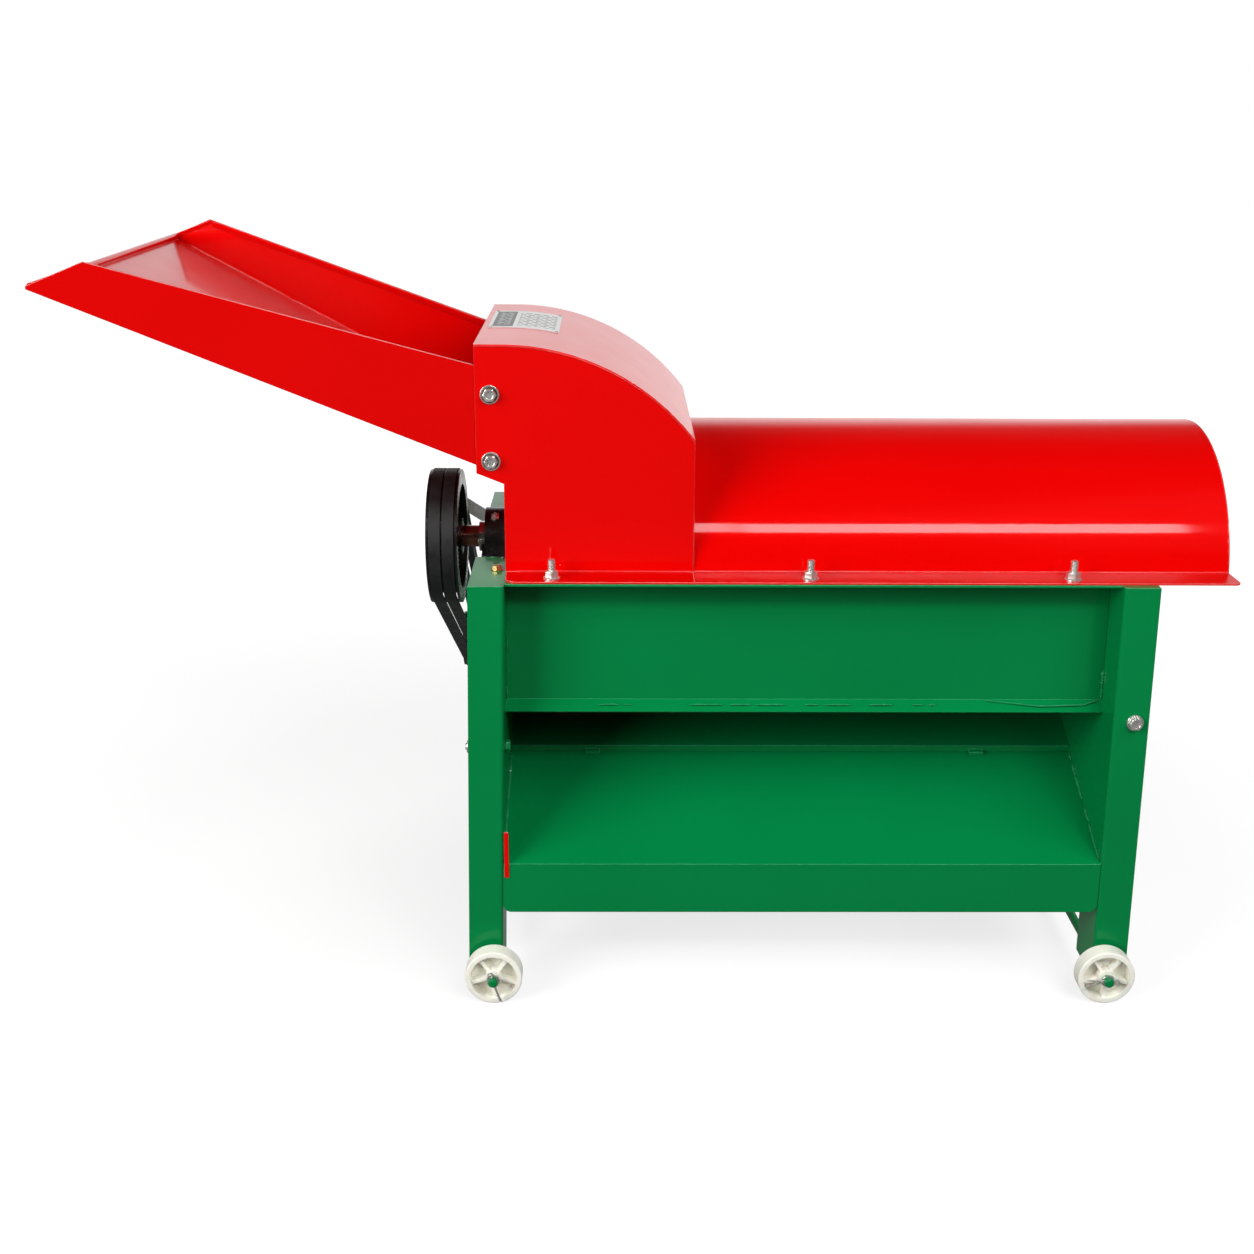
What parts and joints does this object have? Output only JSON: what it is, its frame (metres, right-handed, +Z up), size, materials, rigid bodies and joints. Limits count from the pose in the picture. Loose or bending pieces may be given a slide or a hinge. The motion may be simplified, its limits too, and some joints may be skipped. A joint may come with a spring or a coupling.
{
  "type": "belt-driven corn sheller",
  "caption": "Household corn sheller: sheet-metal stand on wheels, feed chute, drum housing, half-round cover, pegged drum over a rod concave, grain slide, and electric motor with V-belt drive.",
  "frame": {"origin": "centre of the footprint's bounding box, on the floor under the wheels", "axes": "+X from the feed and belt side to the cob outlet, +Y from the front, where the grain leaves, to the motor at the back, +Z up"},
  "size_m": [1.212, 0.7174, 0.8141],
  "materials": {
    "red_paint": "gloss",
    "green_paint": "gloss",
    "black_iron": "satin black paint",
    "zinc_steel": "zinc plated",
    "bright_steel": "ground",
    "ivory_plastic": "moulded",
    "black_rubber": "matte",
    "grey_paint": "satin",
    "plate_metal": "printed",
    "dark_steel": "dark, worn",
    "brass": "plated",
    "black_plastic": "moulded"
  },
  "bodies": {
    "stand": {"axle_left": "zinc_steel", "axle_right": "zinc_steel", "bearing_bolts": "zinc_steel", "bearing_outer_rings": "bright_steel", "bearing_seats": "green_paint", "cable_gland": "black_plastic", "chute_far_wall": "red_paint", "chute_fasteners": "zinc_steel", "chute_floor": "red_paint", "chute_near_wall": "red_paint", "concave_ledges": "green_paint", "concave_ribs": "dark_steel", "concave_rods": "dark_steel", "cross_rails": "green_paint", "drive_belts": "black_rubber", "drum_cover": "red_paint", "end_frame_left": "green_paint", "end_frame_right": "green_paint", "flange_fasteners": "zinc_steel", "front_panel": "green_paint", "front_slide": "green_paint", "grease_nipples": "brass", "guard_stay": "zinc_steel", "housing_arch_plate": "red_paint", "housing_end_plate": "red_paint", "housing_front_wall": "red_paint", "housing_rear_wall": "red_paint", "housing_top": "red_paint", "motor_bearings": "bright_steel", "motor_bolts": "zinc_steel", "motor_end_bells": "grey_paint", "motor_fan_cover": "grey_paint", "motor_frame": "grey_paint", "motor_rails": "green_paint", "motor_stator": "dark_steel", "motor_terminal_box": "grey_paint", "name_plate": "plate_metal", "pillow_block_left": "black_iron", "pillow_block_right": "black_iron", "rear_panel": "green_paint", "rear_slide": "green_paint", "slide_clip": "red_paint", "split_pins": "zinc_steel", "stand_bolts": "zinc_steel", "wheel_washers": "zinc_steel"},
    "wheel_fl": {"wheel_front_left": "ivory_plastic"},
    "wheel_fr": {"wheel_front_right": "ivory_plastic"},
    "wheel_rl": {"wheel_rear_left": "ivory_plastic"},
    "wheel_rr": {"wheel_rear_right": "ivory_plastic"},
    "drum": {"drum_shaft": "bright_steel", "drum_tube": "dark_steel", "drum_pegs": "dark_steel", "drum_pulley": "black_iron", "pulley_keys": "bright_steel", "bearing_inner_rings": "bright_steel"},
    "motor_rotor_group": {"motor_shaft": "bright_steel", "motor_rotor": "dark_steel", "motor_fan": "black_plastic", "motor_pulley": "black_iron", "motor_key": "bright_steel"}
  },
  "joints": [
    {"name": "drum_spin", "type": "hinge", "parent": "stand", "child": "drum", "pos_m": [0, -0.09133, 0.478], "axis": [1, 0, 0], "continuous": true},
    {"name": "motor_spin", "type": "hinge", "parent": "stand", "child": "motor_rotor_group", "pos_m": [0, 0.26367, 0.23], "axis": [1, 0, 0], "continuous": true},
    {"name": "wheel_fl_spin", "type": "hinge", "parent": "stand", "child": "wheel_fl", "pos_m": [-0.18634, -0.31233, 0.03175], "axis": [0, 1, 0], "continuous": true},
    {"name": "wheel_fr_spin", "type": "hinge", "parent": "stand", "child": "wheel_fr", "pos_m": [0.49834, -0.31233, 0.03175], "axis": [0, 1, 0], "continuous": true},
    {"name": "wheel_rl_spin", "type": "hinge", "parent": "stand", "child": "wheel_rl", "pos_m": [-0.18634, 0.12967, 0.03175], "axis": [0, 1, 0], "continuous": true},
    {"name": "wheel_rr_spin", "type": "hinge", "parent": "stand", "child": "wheel_rr", "pos_m": [0.49834, 0.12967, 0.03175], "axis": [0, 1, 0], "continuous": true}
  ],
  "couplings": [
    {"joint": "motor_spin", "follows": "drum_spin", "ratio": 2.0263}
  ]
}
